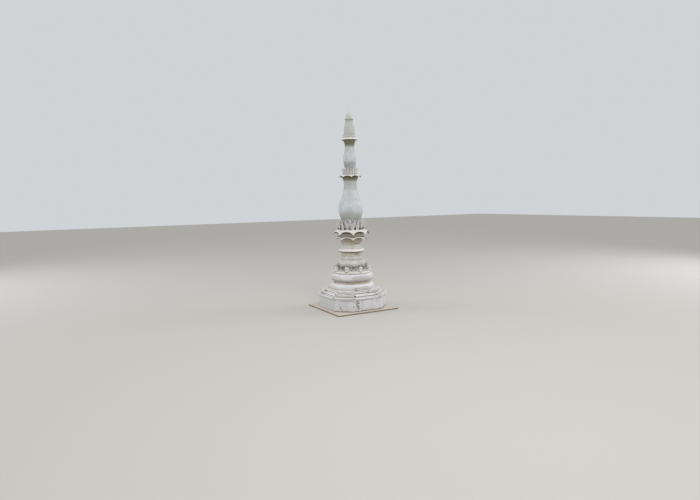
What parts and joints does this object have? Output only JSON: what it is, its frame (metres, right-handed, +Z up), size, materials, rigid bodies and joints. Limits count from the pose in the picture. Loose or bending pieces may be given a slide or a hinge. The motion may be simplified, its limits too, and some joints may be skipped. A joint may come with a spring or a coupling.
{
  "type": "stupa",
  "caption": "Tall limewashed masonry stupa with a square stepped plinth, eight-sided mouldings, lotus flanges, petal rings and stacked bulbs under a pointed bud.",
  "frame": {"origin": "on the ground, at the centre of the square footing's underside, below the tower's axis", "axes": "+Z up along the tower's axis to the tip of the bud; X and Y square to the sides of the plinth"},
  "size_m": [3.6, 3.6, 10.5],
  "materials": {
    "footing_mortar": "rough cement and lime mortar, soiled",
    "plinth_limewash": "matt limewash on lime plaster, weathered",
    "moulding_limewash": "matt limewash on lime plaster, bright on its edges",
    "body_limewash": "matt limewash on lime plaster, streaked grey",
    "carved_stucco": "carved lime stucco, grime in the hollows",
    "stained_limewash": "matt limewash stained olive brown by rain and algae",
    "petal_stucco": "modelled lime stucco petals, dark at their feet",
    "bud_limewash": "fresh white limewash"
  },
  "bodies": {
    "root": {"footing": "footing_mortar", "plinth_block": "plinth_limewash", "plinth_step_lower": "moulding_limewash", "plinth_step_upper": "moulding_limewash", "corner_leaf_front_lower": "petal_stucco", "corner_leaf_front_middle": "petal_stucco", "corner_leaf_front_upper": "petal_stucco", "corner_leaf_right_lower": "petal_stucco", "corner_leaf_right_middle": "petal_stucco", "corner_leaf_right_upper": "petal_stucco", "corner_leaf_back_lower": "petal_stucco", "corner_leaf_back_middle": "petal_stucco", "corner_leaf_back_upper": "petal_stucco", "corner_leaf_left_lower": "petal_stucco", "corner_leaf_left_middle": "petal_stucco", "corner_leaf_left_upper": "petal_stucco", "base_moulding": "moulding_limewash", "recess_course": "stained_limewash", "torus_moulding": "moulding_limewash", "bracket_ledge": "moulding_limewash", "scroll_bracket_1": "petal_stucco", "scroll_bracket_2": "petal_stucco", "scroll_bracket_3": "petal_stucco", "scroll_bracket_4": "petal_stucco", "scroll_bracket_5": "petal_stucco", "scroll_bracket_6": "petal_stucco", "scroll_bracket_7": "petal_stucco", "scroll_bracket_8": "petal_stucco", "carved_cushion": "carved_stucco", "lower_neck": "body_limewash", "waist_band": "moulding_limewash", "upper_neck": "stained_limewash", "lower_lotus_flange": "stained_limewash", "upper_lotus_flange": "moulding_limewash", "great_petals_outer": "petal_stucco", "great_petals_inner": "petal_stucco", "main_bulb": "body_limewash", "middle_lotus_flange": "moulding_limewash", "middle_petals": "petal_stucco", "middle_bulb": "body_limewash", "top_lotus_flange": "moulding_limewash", "top_petals": "petal_stucco", "top_bulb": "body_limewash", "finial_plate": "moulding_limewash", "finial_bud": "bud_limewash"}
  },
  "joints": []
}
